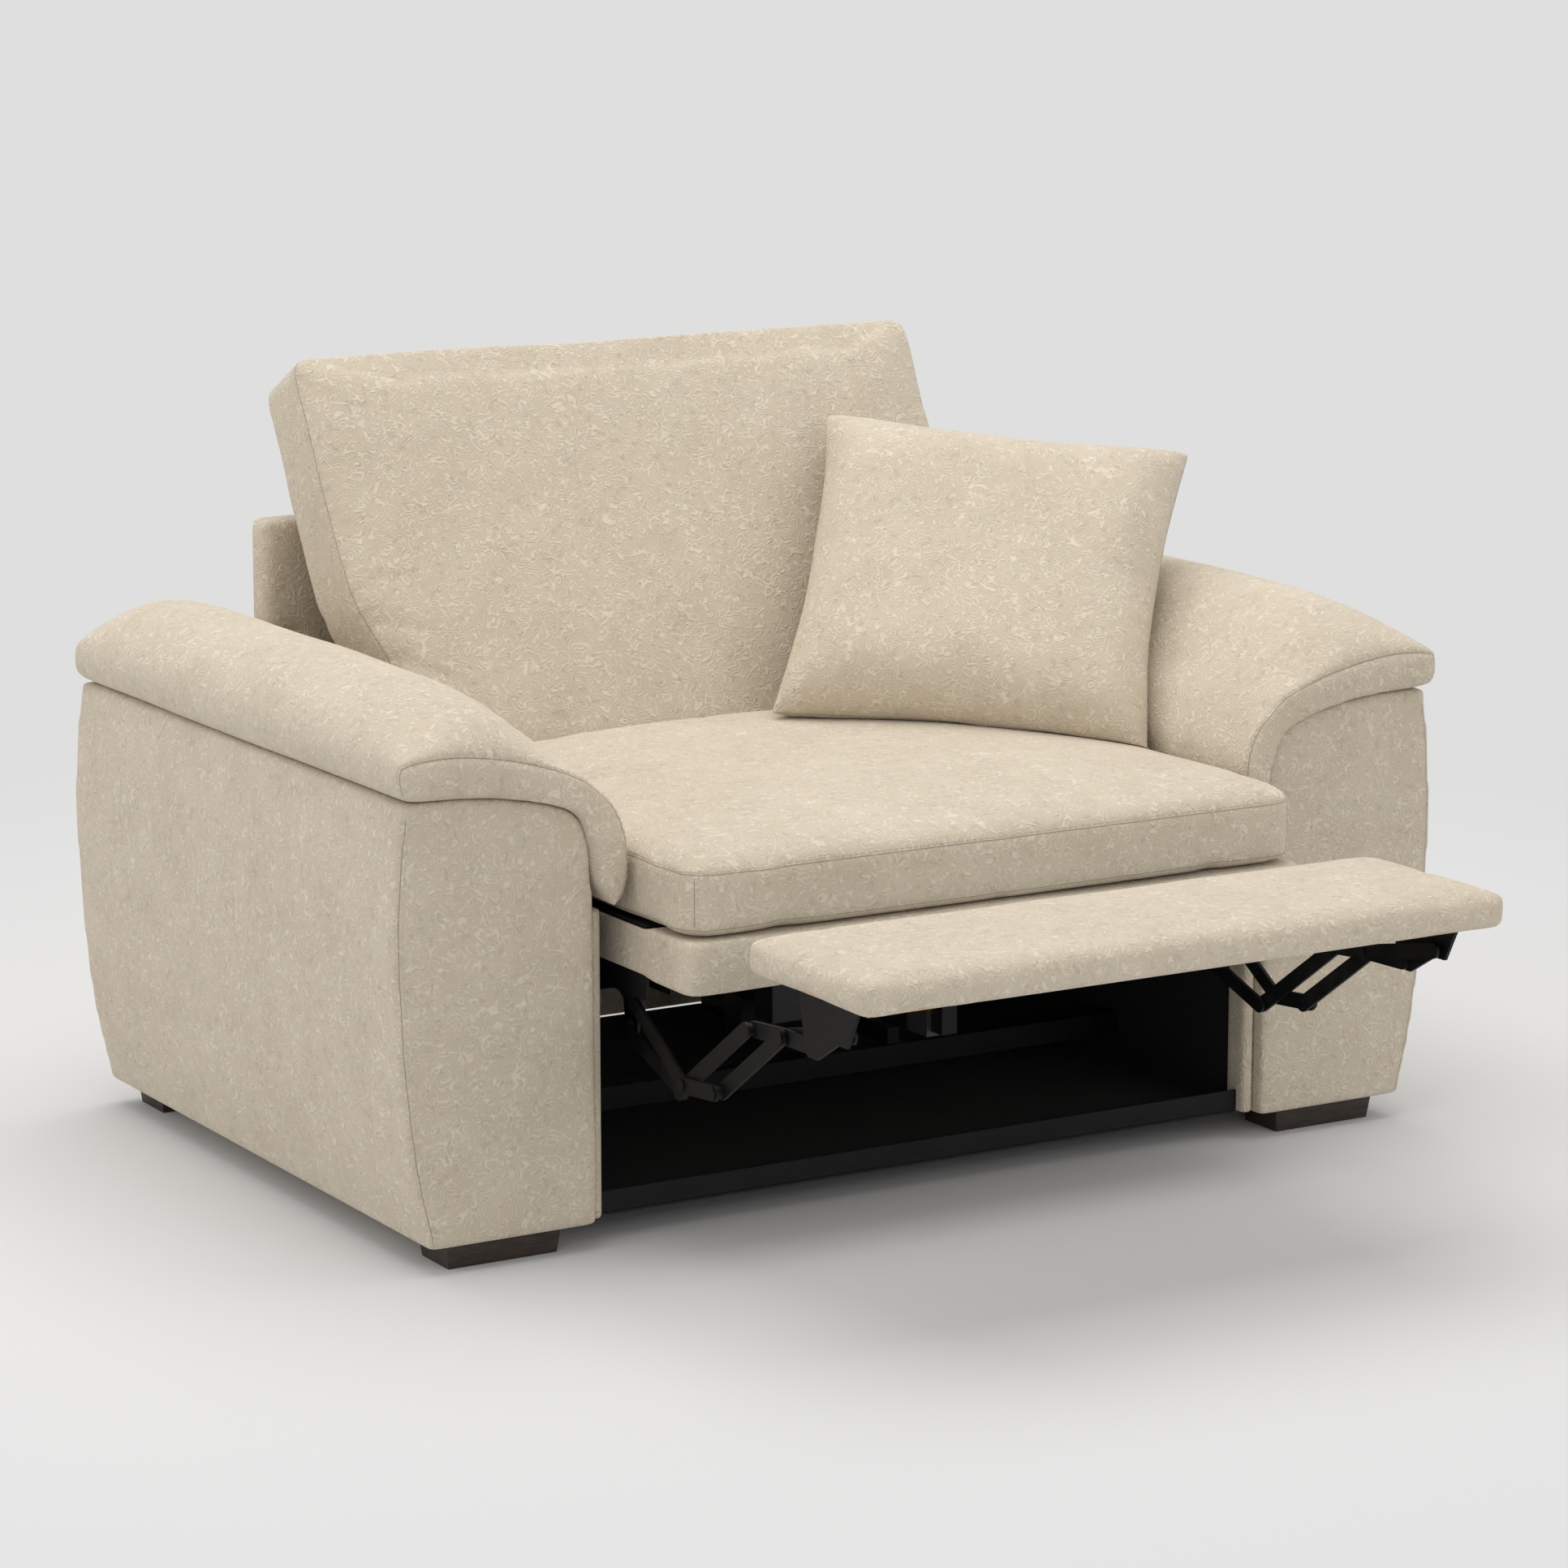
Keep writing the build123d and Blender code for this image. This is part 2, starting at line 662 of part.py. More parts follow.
# ---------------------------------------------------------------- scatter cushion


def scatter_cushion():
    """Knife-edge cushion that stands on the seat and leans into the right-hand corner."""
    half = SCATTER / 2
    edge = Pos(0, 0, 0) * RectangleRounded(SCATTER, SCATTER, 14)
    middle = Pos(0, 0, SCATTER_THICK / 2) * RectangleRounded(0.55 * SCATTER, 0.55 * SCATTER, 50)
    front = loft([Pos(0, 0, 5) * edge, middle])
    rear = mirror(front, about=Plane.XY)
    rim = Pos(0, 0, -5) * extrude(edge, amount=10)
    upright = Rot(X=90) * (front + rim + rear)
    upright = Pos(0, 0, half) * upright
    turned = Rot(Z=SCATTER_YAW) * Rot(Y=SCATTER_ROLL) * Rot(X=SCATTER_LEAN) * upright
    return Pos(*SCATTER_FOOT) * turned


arms()
feet()
base()
control_panel()
seat()
back()
linkage()
save("scatter_cushion", scatter_cushion())
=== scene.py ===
import json
import math

import bmesh
import bpy
import numpy as np
from mathutils import Matrix, Vector, noise
from mathutils.bvhtree import BVHTree
from mathutils.kdtree import KDTree


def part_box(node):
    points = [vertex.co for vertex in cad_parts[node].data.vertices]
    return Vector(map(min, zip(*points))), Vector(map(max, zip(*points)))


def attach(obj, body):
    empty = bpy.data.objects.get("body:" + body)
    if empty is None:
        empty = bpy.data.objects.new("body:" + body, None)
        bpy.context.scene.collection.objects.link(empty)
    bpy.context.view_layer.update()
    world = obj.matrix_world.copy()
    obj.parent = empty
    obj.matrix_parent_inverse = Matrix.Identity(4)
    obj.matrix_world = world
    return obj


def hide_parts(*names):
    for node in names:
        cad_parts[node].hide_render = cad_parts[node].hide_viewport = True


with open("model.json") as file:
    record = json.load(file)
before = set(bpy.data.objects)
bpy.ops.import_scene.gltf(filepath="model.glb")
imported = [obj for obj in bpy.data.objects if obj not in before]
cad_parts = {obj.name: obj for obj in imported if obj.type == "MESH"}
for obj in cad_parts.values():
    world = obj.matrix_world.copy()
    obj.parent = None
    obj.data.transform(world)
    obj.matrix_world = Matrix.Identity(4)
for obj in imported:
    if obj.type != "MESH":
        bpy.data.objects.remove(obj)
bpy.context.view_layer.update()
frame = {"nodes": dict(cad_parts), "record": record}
scene = bpy.context.scene
scene.frame_set(1)

# Lengths in metres. Depths written as "behind the arm fronts" are added to FRONT.
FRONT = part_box("left_arm_cover")[0].y
LEAN = math.radians(28)


def at(x, depth, z):
    """A point given by its depth behind the arm fronts."""
    return (x, FRONT + depth, z)


# ------------------------------------------------------------------ camera


def make_camera():
    """A long lens, low and to the left of the chair's front."""
    data = bpy.data.cameras.new("camera")
    data.lens = 117.0
    data.sensor_width = 36.0
    data.clip_end = 60
    cam = bpy.data.objects.new("camera", data)
    cam.location = (-3.01301, FRONT - 4.71871, 1.60680)
    cam.rotation_euler = (math.radians(90 - 11.42), 0, math.radians(-30.71))
    scene.collection.objects.link(cam)
    scene.camera = cam


# --------------------------------------------------------------- materials


class Graph:
    """Small helper for wiring one material."""

    def __init__(self, name):
        self.material = bpy.data.materials.new(name)
        self.material.use_nodes = True
        self.tree = self.material.node_tree
        self.shader = self.tree.nodes["Principled BSDF"]
        coords = self.tree.nodes.new("ShaderNodeTexCoord")
        self.place = coords.outputs["Object"]

    def link(self, source, target):
        self.tree.links.new(source, target)

    def stretch(self, scale):
        node = self.tree.nodes.new("ShaderNodeMapping")
        node.inputs["Scale"].default_value = scale
        self.link(self.place, node.inputs["Vector"])
        return node.outputs["Vector"]

    def noise(self, scale, detail=2.0, rough=0.5, where=None, distort=0.0):
        node = self.tree.nodes.new("ShaderNodeTexNoise")
        node.inputs["Scale"].default_value = scale
        node.inputs["Detail"].default_value = detail
        node.inputs["Roughness"].default_value = rough
        node.inputs["Distortion"].default_value = distort
        self.link(where or self.place, node.inputs["Vector"])
        return node.outputs["Fac"]

    def math(self, kind, a, b=0.0, c=0.0):
        node = self.tree.nodes.new("ShaderNodeMath")
        node.operation = kind
        for slot, value in zip(node.inputs, (a, b, c)):
            if isinstance(value, (int, float)):
                slot.default_value = value
            else:
                self.link(value, slot)
        return node.outputs[0]

    def ramp(self, value, *stops):
        node = self.tree.nodes.new("ShaderNodeValToRGB")
        marks = node.color_ramp.elements
        while len(marks) < len(stops):
            marks.new(0.5)
        for mark, (position, colour) in zip(marks, stops):
            mark.position = position
            mark.color = (*colour, 1)
        self.link(value, node.inputs["Fac"])
        return node.outputs["Color"]

    def span(self, value, low, high, out_low=0.0, out_high=1.0):
        node = self.tree.nodes.new("ShaderNodeMapRange")
        for key, number in zip(("From Min", "From Max", "To Min", "To Max"), (low, high, out_low, out_high)):
            node.inputs[key].default_value = number
        self.link(value, node.inputs["Value"])
        return node.outputs["Result"]

    def colour(self, value):
        self.link(value, self.shader.inputs["Base Color"])

    def roughness(self, value):
        self.link(value, self.shader.inputs["Roughness"])

    def bump(self, height, distance, strength=1.0):
        node = self.tree.nodes.new("ShaderNodeBump")
        node.inputs["Distance"].default_value = distance
        node.inputs["Strength"].default_value = strength
        self.link(height, node.inputs["Height"])
        self.link(node.outputs["Normal"], self.shader.inputs["Normal"])

    def set(self, **values):
        for key, value in values.items():
            self.shader.inputs[key.replace("_", " ").title()].default_value = value


def chenille(name, deep, mid, pale):
    """Woven chenille: short curling tufts over a plain ground, with soft mottling."""
    g = Graph(name)
    tufts = []
    for turn, offset in ((0.0, 0.0), (0.9, 3.7)):
        turned = g.tree.nodes.new("ShaderNodeMapping")
        turned.inputs["Rotation"].default_value = (turn, turn * 0.7, turn * 1.3)
        turned.inputs["Location"].default_value = (offset, offset, offset)
        g.link(g.place, turned.inputs["Vector"])
        swirl = g.noise(44, 0.8, 0.4, turned.outputs["Vector"])
        ridge = g.math("SINE", g.math("MULTIPLY", swirl, 78.0))
        gate = g.noise(75, 1.0, 0.5, turned.outputs["Vector"])
        tufts.append(g.math("MULTIPLY", g.span(ridge, 0.05, 1.0), g.span(gate, 0.40, 0.58)))
    light = g.math("MAXIMUM", *tufts)
    dark = g.math("MULTIPLY", g.span(g.noise(95, 1.0), 0.60, 0.70), g.math("SUBTRACT", 1.0, light))
    ground = g.noise(420, 2.0, 0.6)
    mottle = g.noise(16, 3.0, 0.55)
    cloud = g.noise(4.5, 2.0, 0.5)
    shade = g.math("MULTIPLY_ADD", light, 0.25, 0.365)
    shade = g.math("MULTIPLY_ADD", dark, -0.08, shade)
    shade = g.math("MULTIPLY_ADD", ground, 0.20, shade)
    shade = g.math("MULTIPLY_ADD", g.math("SUBTRACT", mottle, 0.5), 0.24, shade)
    shade = g.math("MULTIPLY_ADD", g.math("SUBTRACT", cloud, 0.5), 0.12, shade)
    g.colour(g.ramp(shade, (0.12, deep), (0.50, mid), (0.92, pale)))
    height = g.math("MULTIPLY_ADD", light, 0.8, g.math("MULTIPLY", ground, 0.35))
    height = g.math("MULTIPLY_ADD", dark, -0.5, height)
    g.bump(height, 0.0014, 0.6)
    g.roughness(g.span(ground, 0.3, 0.7, 0.86, 0.98))
    g.set(sheen_weight=0.22, sheen_roughness=0.55, sheen_tint=(1.0, 0.96, 0.9, 1))
    g.shader.inputs["Specular IOR Level"].default_value = 0.18
    return g.material


def thread(name, colour):
    """Twisted sewing thread; also the dark seam line, which is painted shade."""
    g = Graph(name)
    twist = g.noise(900, 1.0)
    g.colour(g.ramp(twist, (0.3, tuple(c * 0.86 for c in colour)), (0.7, colour)))
    g.bump(twist, 0.0003, 0.5)
    g.set(roughness=0.7, sheen_weight=0.1)
    return g.material


def stained_wood(name):
    """Espresso-stained wood with the grain along the foot, paler in streaks."""
    g = Graph(name)
    grain = g.noise(22, 5.0, 0.62, g.stretch((1.6, 14, 14)), 0.6)
    pores = g.noise(160, 2.0, 0.5, g.stretch((0.6, 6, 6)))
    dark, middle, worn = (0.016, 0.010, 0.007), (0.034, 0.022, 0.015), (0.060, 0.040, 0.028)
    g.colour(g.ramp(grain, (0.32, dark), (0.55, middle), (0.75, worn)))
    g.roughness(g.span(pores, 0.3, 0.7, 0.36, 0.56))
    g.bump(g.math("MULTIPLY_ADD", pores, 0.4, grain), 0.0006, 0.4)
    return g.material


def plywood(name):
    """Unfinished plywood."""
    g = Graph(name)
    grain = g.noise(26, 4.0, 0.6, g.stretch((5, 1, 5)), 0.4)
    g.colour(g.ramp(grain, (0.3, (0.42, 0.29, 0.17)), (0.7, (0.62, 0.47, 0.30))))
    g.bump(grain, 0.0006, 0.4)
    g.set(roughness=0.75)
    return g.material


def black_paint(name, level, low, high, grain=260):
    """Satin black coating with a fine orange peel and faint dust and wear."""
    g = Graph(name)
    peel = g.noise(grain, 2.0, 0.5)
    wear = g.noise(34, 4.0, 0.65)
    pale = tuple(c * 2.1 for c in level)
    g.colour(g.ramp(wear, (0.42, level), (0.70, pale)))
    g.roughness(g.span(wear, 0.3, 0.7, low, high))
    g.bump(peel, 0.0002, 0.35)
    g.shader.inputs["Specular IOR Level"].default_value = 0.22
    return g.material


def lining_cloth(name):
    """Black non-woven dust cloth."""
    g = Graph(name)
    fibres = g.noise(330, 3.0, 0.7, None, 1.5)
    g.colour(g.ramp(fibres, (0.3, (0.004, 0.004, 0.004)), (0.7, (0.012, 0.012, 0.012))))
    g.bump(fibres, 0.0005, 0.5)
    g.set(roughness=0.96)
    return g.material


def wire_steel(name):
    """Drawn spring steel."""
    g = Graph(name)
    drawn = g.noise(240, 2.0, 0.5, g.stretch((1, 0.1, 1)))
    g.colour(g.ramp(drawn, (0.3, (0.30, 0.30, 0.31)), (0.7, (0.46, 0.46, 0.47))))
    g.roughness(g.span(drawn, 0.3, 0.7, 0.28, 0.45))
    g.set(metallic=1.0)
    return g.material


def moulded(name, colour, rough):
    """Moulded plastic with a fine spark-eroded texture."""
    g = Graph(name)
    spark = g.noise(700, 2.0, 0.6)
    cast = g.noise(40, 2.0)
    g.colour(g.ramp(cast, (0.35, tuple(c * 0.85 for c in colour)), (0.65, colour)))
    g.roughness(g.span(spark, 0.3, 0.7, rough - 0.06, rough + 0.08))
    g.bump(spark, 0.0001, 0.4)
    return g.material


FABRIC = chenille("oatmeal_chenille", (0.355, 0.298, 0.220), (0.573, 0.495, 0.385), (0.760, 0.690, 0.572))
THREAD = thread("oatmeal_thread", (0.60, 0.54, 0.43))
# Dark colour for the seam line: painted shade of the seam's groove.
PAINTED_SEAM_SHADE = thread("seam_shadow", (0.33, 0.28, 0.21))
FINISHES = {
    "black_lining": lining_cloth("dust_cloth"),
    "foot_wood": stained_wood("espresso_wood"),
    "frame_wood": plywood("plywood"),
    "mechanism_steel": black_paint("coated_steel", (0.0035, 0.0035, 0.0038), 0.42, 0.60),
    "spring_steel": wire_steel("spring_wire"),
    "nylon": moulded("black_nylon", (0.030, 0.030, 0.031), 0.45),
    "motor_plastic": moulded("housing_plastic", (0.022, 0.022, 0.023), 0.42),
    "button_plastic": moulded("button_plastic", (0.33, 0.33, 0.34), 0.36),
    "body_fabric": FABRIC,
}


def dress_frame():
    """Every CAD node that stays visible gets its slot's finish."""
    finish = {one["node"]: one["material_slot"] for one in frame["record"]["subparts"]}
    for name, node in frame["nodes"].items():
        node.data.materials.clear()
        node.data.materials.append(FINISHES[finish[name]])


# -------------------------------------------------------------- mesh tools


def new_object(name, verts, faces):
    mesh = bpy.data.meshes.new(name)
    mesh.from_pydata([tuple(map(float, v)) for v in verts], [], faces)
    mesh.validate()
    piece = bpy.data.objects.new(name, mesh)
    scene.collection.objects.link(piece)
    return piece


def coords(piece):
    flat = np.empty(len(piece.data.vertices) * 3)
    piece.data.vertices.foreach_get("co", flat)
    return flat.reshape(-1, 3)


def set_coords(piece, points):
    piece.data.vertices.foreach_set("co", np.asarray(points, float).ravel())
    piece.data.update()


def normals(piece):
    flat = np.empty(len(piece.data.vertices) * 3)
    piece.data.vertices.foreach_get("normal", flat)
    return flat.reshape(-1, 3)


def bake(piece):
    """Replaces the mesh by what its modifiers make of it."""
    graph = bpy.context.evaluated_depsgraph_get()
    mesh = bpy.data.meshes.new_from_object(piece.evaluated_get(graph))
    old = piece.data
    piece.modifiers.clear()
    piece.data = mesh
    mesh.name = piece.name
    bpy.data.meshes.remove(old)


def remesh(piece, voxel):
    """Even quads all over a closed shape."""
    mod = piece.modifiers.new("remesh", "REMESH")
    mod.mode = "VOXEL"
    mod.voxel_size = voxel
    bake(piece)


def relax(piece, rounds, amount=0.5):
    """Laplacian smoothing, which rounds the edges."""
    edges = np.empty(len(piece.data.edges) * 2, int)
    piece.data.edges.foreach_get("vertices", edges)
    a, b = edges.reshape(-1, 2).T
    points = coords(piece)
    count = np.bincount(np.concatenate((a, b)), minlength=len(points))[:, None]
    for _ in range(rounds):
        total = np.stack(
            [np.bincount(a, points[b, k], len(points)) + np.bincount(b, points[a, k], len(points)) for k in range(3)],
            axis=1,
        )
        points = points + amount * (total / np.maximum(count, 1) - points)
    set_coords(piece, points)


def subdivide(piece):
    mod = piece.modifiers.new("subdivision", "SUBSURF")
    mod.levels = 1
    mod.render_levels = 1
    bake(piece)


def prism(name, outline, ends, place):
    """A closed outline of (a, b) pairs drawn out between two values of a third axis.
    place turns (a, b, c) into a point."""
    count = len(outline)
    verts = [place(a, b, c) for c in ends for a, b in outline]
    faces = [(i, (i + 1) % count, count + (i + 1) % count, count + i) for i in range(count)]
    faces += [tuple(range(count))[::-1], tuple(range(count, 2 * count))]
    piece = new_object(name, verts, faces)
    tidy = bmesh.new()
    tidy.from_mesh(piece.data)
    bmesh.ops.recalc_face_normals(tidy, faces=tidy.faces)
    tidy.to_mesh(piece.data)
    tidy.free()
    return piece


def curve_through(points, count):
    """Points spaced evenly along a smooth line through the given ones."""
    points = np.asarray(points, float)
    padded = np.vstack((2 * points[0] - points[1], points, 2 * points[-1] - points[-2]))
    dense = []
    for i in range(1, len(padded) - 2):
        p0, p1, p2, p3 = padded[i - 1:i + 3]
        for t in np.linspace(0, 1, 16, endpoint=False):
            dense.append(0.5 * (2 * p1 + (p2 - p0) * t + (2 * p0 - 5 * p1 + 4 * p2 - p3) * t * t
                                + (3 * p1 - p0 - 3 * p2 + p3) * t ** 3))
    dense.append(points[-1])
    return spaced(np.array(dense), count)


def spaced(points, count):
    """The same line with evenly spaced points."""
    points = np.asarray(points, float)
    steps = np.linalg.norm(np.diff(points, axis=0), axis=1)
    run = np.concatenate(([0], np.cumsum(steps)))
    wanted = np.linspace(0, run[-1], count)
    return np.stack([np.interp(wanted, run, points[:, k]) for k in range(points.shape[1])], axis=1)


def length_of(points):
    return float(np.linalg.norm(np.diff(np.asarray(points, float), axis=0), axis=1).sum())


def rounded(half_x, low, high, radius, steps=8):
    """A rounded rectangle, symmetric in its first coordinate."""
    corners = [(half_x, high, 0), (-half_x, high, 90), (-half_x, low, 180), (half_x, low, 270)]
    points = []
    for x, y, start in corners:
        cx = x - math.copysign(radius, x)
        cy = y - radius if y == high else y + radius
        for i in range(steps + 1):
            turn = math.radians(start + 90 * i / steps)
            points.append((cx + radius * math.cos(turn), cy + radius * math.sin(turn)))
    return points


def smooth_noise(points, scale, seed):
    """Coherent noise from about -1 to 1 at each point."""
    shift = Vector((seed * 7.31, seed * 3.77, seed * 5.13))
    return np.array([noise.noise(Vector(p) * scale + shift) for p in points])


def ripple(piece, amount, scale, seed, where=None):
    """Slow unevenness of a padded surface. where scales it at each point."""
    points = coords(piece)
    push = amount * smooth_noise(points, scale, seed)
    if where is not None:
        push = push * where(points)
    set_coords(piece, points + normals(piece) * push[:, None])


def inflate(piece, pressure, cap, frames=20, stiffness=15.0):
    """Cloth simulation under inner pressure. cap gives, for each axis, how far a point
    may move down and up that axis."""
    start = coords(piece).copy()
    mod = piece.modifiers.new("cloth", "CLOTH")
    cloth = mod.settings
    cloth.quality = 5
    cloth.mass = 0.3
    cloth.tension_stiffness = stiffness
    cloth.compression_stiffness = stiffness
    cloth.shear_stiffness = stiffness / 3
    cloth.bending_stiffness = 0.5
    cloth.use_pressure = True
    cloth.uniform_pressure_force = pressure
    cloth.effector_weights.gravity = 0
    mod.point_cache.frame_start = 1
    mod.point_cache.frame_end = frames
    mod.collision_settings.use_collision = False
    for number in range(1, frames + 1):
        scene.frame_set(number)
    graph = bpy.context.evaluated_depsgraph_get()
    result = piece.evaluated_get(graph).to_mesh()
    flat = np.empty(len(result.vertices) * 3)
    result.vertices.foreach_get("co", flat)
    moved = flat.reshape(-1, 3) - start
    piece.modifiers.clear()
    scene.frame_set(1)
    for axis, (down, up) in enumerate(cap):
        one = moved[:, axis]
        moved[:, axis] = np.where(one < 0, -down * np.tanh(-one / max(down, 1e-6)), up * np.tanh(one / max(up, 1e-6)))
    set_coords(piece, start + moved)


def tree_of(*pieces):
    verts, faces = [], []
    for one in pieces:
        base = len(verts)
        verts += [v.co.copy() for v in one.data.vertices]
        faces += [[base + i for i in poly.vertices] for poly in one.data.polygons]
    return BVHTree.FromPolygons(verts, faces)


def keep_clear(piece, others, gap, reach=0.06):
    """Presses a soft piece in where it would enter its neighbours."""
    tree = tree_of(*others)
    points = coords(piece)
    for i, p in enumerate(points):
        spot, normal, _, _ = tree.find_nearest(Vector(p), reach)
        if spot is None:
            continue
        depth = (Vector(p) - spot).dot(normal)
        if depth < gap:
            points[i] = spot + normal * gap
    set_coords(piece, points)


def carve(piece, lines, depth, width):
    """Presses a soft groove into a surface along each line."""
    dots = np.vstack([spaced(line, max(8, int(length_of(line) / 0.002))) for line in lines])
    tree = KDTree(len(dots))
    for i, p in enumerate(dots):
        tree.insert(p, i)
    tree.balance()
    points = coords(piece)
    facing = normals(piece)
    near = np.array([tree.find(p)[2] for p in points])
    points = points - facing * (depth * np.exp(-((near / width) ** 2)))[:, None]
    set_coords(piece, points)


def laid_on(line, tree, lift):
    """The line, brought onto a surface. Returns points and the surface's normals."""
    places, outward = [], []
    for p in line:
        spot, normal, _, _ = tree.find_nearest(Vector(p))
        places.append(spot + normal * lift)
        outward.append(normal)
    return places, outward


def tube(places, radius, verts, faces, sides=6, flat=1.0, outward=None):
    """Adds a tube along the points, closed at both ends."""
    base = len(verts)
    count = len(places)
    for i, p in enumerate(places):
        ahead = places[min(i + 1, count - 1)] - places[max(i - 1, 0)]
        ahead.normalize()
        side = outward[i] if outward else Vector((0, 0, 1))
        across = ahead.cross(side).normalized()
        up = across.cross(ahead).normalized()
        thin = 0.35 if i in (0, count - 1) else 1.0
        for k in range(sides):
            turn = 2 * math.pi * k / sides
            verts.append(p + (across * math.cos(turn) + up * math.sin(turn) * flat) * radius * thin)
    for i in range(count - 1):
        for k in range(sides):
            a, b = base + i * sides + k, base + i * sides + (k + 1) % sides
            faces.append((a, b, b + sides, a + sides))
    faces.append(tuple(base + k for k in range(sides))[::-1])
    faces.append(tuple(base + (count - 1) * sides + k for k in range(sides)))


STITCH = 0.0058
STITCH_GAP = 0.0026
stitch_bank = {}


def sew(piece, body, line, offset=None):
    """A seam on a finished piece: a fine closed dark tube sunk along the line as painted shade of the seam's groove,
    and a row of stitches beside it, shifted by offset."""
    tree = tree_of(piece)
    # The dark tube below is painted shade along the seam's groove.
    verts, faces = stitch_bank.setdefault((body, "crease"), ([], []))
    fine = spaced(line, max(6, int(length_of(line) / 0.006)))
    places, outward = laid_on(fine, tree, -0.0002)
    tube(places, 0.0006, verts, faces, 6, 1.0, outward)
    if offset is None:
        return
    verts, faces = stitch_bank.setdefault((body, "stitches"), ([], []))
    shifted = np.asarray(line, float) + np.asarray(offset, float)
    total = length_of(shifted)
    count = int(total / (STITCH + STITCH_GAP))
    pitch = total / count
    steps = spaced(shifted, count * 10 + 1)
    for i in range(count):
        first = i * 10
        last = first + max(3, int(round(10 * STITCH / pitch)))
        part = steps[[first, (2 * first + last) // 3, (first + 2 * last) // 3, last]]
        places, outward = laid_on(part, tree, 0.0001)
        tube(places, 0.00062, verts, faces, 5, 0.8, outward)


def finish_seams():
    """One piece of painted seam shade and one of thread on each body."""
    for (body, kind), (verts, faces) in stitch_bank.items():
        piece = new_object(f"{body}_{kind}", verts, faces)
        dress(piece, body, PAINTED_SEAM_SHADE if kind == "crease" else THREAD)


def dress(piece, body, material, *nodes, fill=None, slot="body_fabric"):
    """Material, smooth shading, body and the CAD nodes that the piece stands for; the slot argument is not used."""
    piece.data.materials.clear()
    piece.data.materials.append(material)
    piece.data.polygons.foreach_set("use_smooth", [True] * len(piece.data.polygons))
    piece.data.update()
    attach(piece, body)
    if nodes:
        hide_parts(*nodes)
    return piece


def step(value, low, high):
    """0 below low, 1 above high, smooth between."""
    t = np.clip((value - low) / (high - low), 0, 1)
    return t * t * (3 - 2 * t)


# -------------------------------------------------------------------- arms

ARM_TOP = [
    (0.446, 0.400), (0.451, 0.453), (0.464, 0.488), (0.493, 0.503),
    (0.534, 0.513), (0.589, 0.5205), (0.676, 0.5225),
]
ARM_OUTER = [
    (0.676, 0.5225), (0.6835, 0.470), (0.6885, 0.410), (0.6890, 0.350),
    (0.6865, 0.270), (0.6800, 0.190), (0.6690, 0.110), (0.651, 0.029),
]
PAD_CROWN = [
    (0.684, 0.532), (0.687, 0.556), (0.672, 0.586), (0.632, 0.615), (0.588, 0.628), (0.542, 0.614), (0.502, 0.577),
    (0.466, 0.540), (0.442, 0.518), (0.424, 0.495), (0.4125, 0.466), (0.4105, 0.432), (0.4150, 0.398), (0.429, 0.3835),
]
PAD_FRONT_EDGE = [
    (0.681, 0.530), (0.686, 0.549), (0.680, 0.565), (0.640, 0.5705), (0.602, 0.569), (0.552, 0.561), (0.501, 0.547),
    (0.464, 0.533), (0.441, 0.515), (0.423, 0.493), (0.4125, 0.466), (0.4105, 0.432), (0.4150, 0.398), (0.429, 0.3835),
]
ARM_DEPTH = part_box("left_arm_cover")[1].y - FRONT
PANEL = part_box("control_panel")


def arm_body(side, name, node):
    """Fabric over the arm's panels, with rounded, stitched edges."""
    top = curve_through(ARM_TOP, 30)
    outer = curve_through(ARM_OUTER, 34)
    outline = [tuple(p) for p in top] + [tuple(p) for p in outer[1:]] + [(0.4455, 0.029)]
    outline = [(a * 0.9995, b) for a, b in outline]
    piece = prism(name, outline, (0.0015, ARM_DEPTH - 0.0015), lambda a, b, c: at(side * a, c, b))
    remesh(piece, 0.0062)
    relax(piece, 5)
    front_edge = [at(side * (a - 0.006), 0.0, b) for a, b in outer[1:]]
    rear_edge = [at(side * (a - 0.006), ARM_DEPTH, b) for a, b in outer[1:]]
    subdivide(piece)
    carve(piece, [front_edge, rear_edge], 0.0016, 0.0040)

    def middle(p):
        return step(p[:, 2], 0.03, 0.09) * step(0.52 - p[:, 2], 0.0, 0.05)

    ripple(piece, 0.0016, 7.0, 3 + side, middle)
    if side > 0:
        recess(piece)
    dress(piece, "base", FABRIC, node, fill=0.9)
    sew(piece, "base", front_edge, (-side * 0.0045, 0, 0))
    sew(piece, "base", rear_edge, (-side * 0.0045, 0, 0))
    return piece


def recess(piece):
    """Fabric tucked in round the control panel."""
    low, high = PANEL
    points = coords(piece)
    dy = np.maximum(np.maximum(low.y - points[:, 1], points[:, 1] - high.y), 0)
    dz = np.maximum(np.maximum(low.z - points[:, 2], points[:, 2] - high.z), 0)
    away = np.hypot(dy, dz)
    outside = points[:, 0] > 0.66
    points[:, 0] -= np.where(outside, 0.0075 * (1 - step(away, 0.001, 0.009)), 0)
    set_coords(piece, points)


